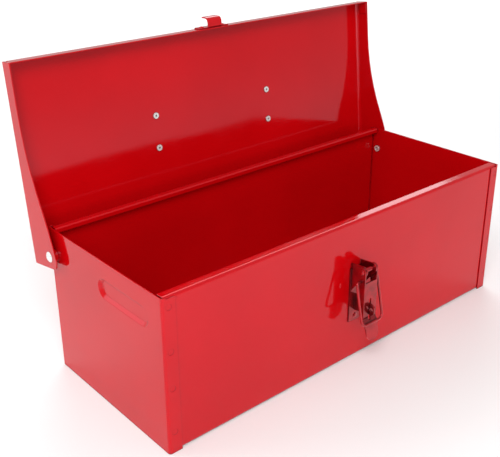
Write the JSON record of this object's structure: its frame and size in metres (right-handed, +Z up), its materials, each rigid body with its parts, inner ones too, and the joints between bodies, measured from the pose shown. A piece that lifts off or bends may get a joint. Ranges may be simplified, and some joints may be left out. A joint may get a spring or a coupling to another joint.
{
  "type": "steel tool box",
  "caption": "Long rectangular sheet-steel tool box with a hinged shoebox-style lid standing open, a bail handle on the lid and a draw latch on the front.",
  "frame": {"origin": "middle of the flat underside of the box", "axes": "+X along the box, +Y to the hinged rear, +Z up; the latch faces -Y"},
  "size_m": [0.422, 0.2283, 0.2796],
  "materials": {
    "red_paint": "glossy red enamel on sheet steel",
    "latch_paint": "glossy darker red enamel on small pressed and wire steel parts",
    "plated_steel": "bright zinc-plated steel rivets"
  },
  "bodies": {
    "box": {"body_shell": "red_paint", "left_end_panel": "red_paint", "right_end_panel": "red_paint", "left_hinge_rivet": "plated_steel", "right_hinge_rivet": "plated_steel", "left_hinge_spacer": "red_paint", "right_hinge_spacer": "red_paint", "latch_base": "latch_paint", "latch_base_rivets": "latch_paint", "latch_pin": "latch_paint"},
    "lid_body": {"lid": "red_paint", "catch_hook": "red_paint", "catch_rivets": "red_paint", "left_handle_bracket": "red_paint", "right_handle_bracket": "red_paint", "left_handle_rivets": "plated_steel", "right_handle_rivets": "plated_steel"},
    "handle": {"handle_bail": "red_paint", "handle_grip": "red_paint"},
    "lever": {"latch_lever": "latch_paint"},
    "loop": {"latch_loop": "latch_paint"}
  },
  "joints": [
    {"name": "lid_hinge", "type": "hinge", "parent": "box", "child": "lid_body", "pos_m": [0, 0.073, 0.1123], "axis": [1, 0, 0], "range_deg": [0, 98.4]},
    {"name": "handle_swing", "type": "hinge", "parent": "lid_body", "child": "handle", "pos_m": [0, 0.11689, 0.18122], "axis": [1, 0, 0], "range_deg": [-2.5, 171]},
    {"name": "latch_lever_swing", "type": "hinge", "parent": "box", "child": "lever", "pos_m": [0, -0.0948, 0.0942], "axis": [-1, 0, 0], "range_deg": [0, 110]},
    {"name": "latch_loop_swing", "type": "hinge", "parent": "lever", "child": "loop", "pos_m": [0, -0.0943, 0.085], "axis": [-1, 0, 0], "range_deg": [0, 60]}
  ]
}
